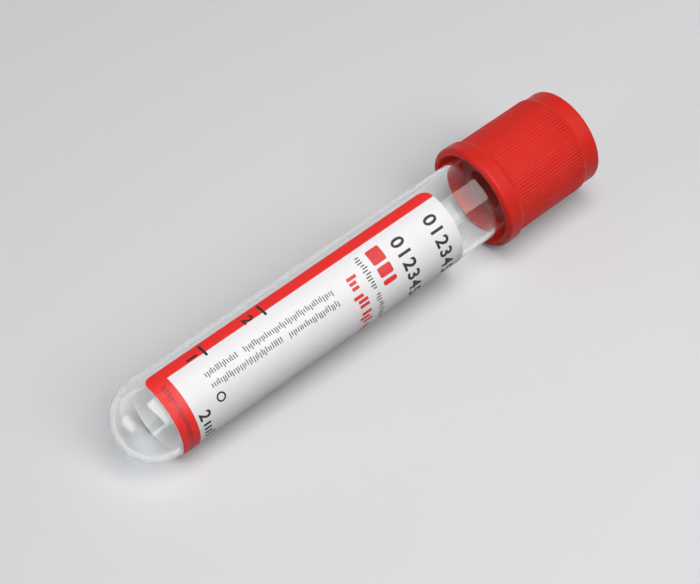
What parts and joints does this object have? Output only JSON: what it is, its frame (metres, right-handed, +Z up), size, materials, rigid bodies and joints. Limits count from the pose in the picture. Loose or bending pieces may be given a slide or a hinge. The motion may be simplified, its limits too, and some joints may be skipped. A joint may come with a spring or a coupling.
{
  "type": "blood collection tube",
  "caption": "Round-bottomed clear sample tube with a wrapped paper label, closed by a rubber stopper in a ribbed red cap that twists and pulls off.",
  "frame": {"origin": "on the surface it lies on, under the middle of its bounding box", "axes": "+Z up; the tube's axis runs along +X from the round bottom to the cap, and climbs 1.9 degrees towards the cap, whose rim is wider than the tube"},
  "size_m": [0.0868, 0.0172, 0.0172],
  "materials": {
    "tube": "clear, polished",
    "label": "smooth coated paper, white with a red edge and a red end band",
    "stopper": "matt moulded butyl rubber, dark red",
    "cap": "satin-gloss moulded plastic with fine axial ribs"
  },
  "bodies": {
    "tube": {"tube": "tube", "label": "label"},
    "stopper": {"stopper": "stopper"},
    "cap": {"cap": "cap"}
  },
  "joints": [
    {"name": "closure_pull", "type": "slide", "parent": "tube", "child": "stopper", "axis": [0.9995, 0, 0.0327], "range_m": [0, 0.02]},
    {"name": "closure_twist", "type": "hinge", "parent": "stopper", "child": "cap", "pos_m": [0.03651, 0, 0.009], "axis": [0.9995, 0, 0.0327], "continuous": true}
  ]
}
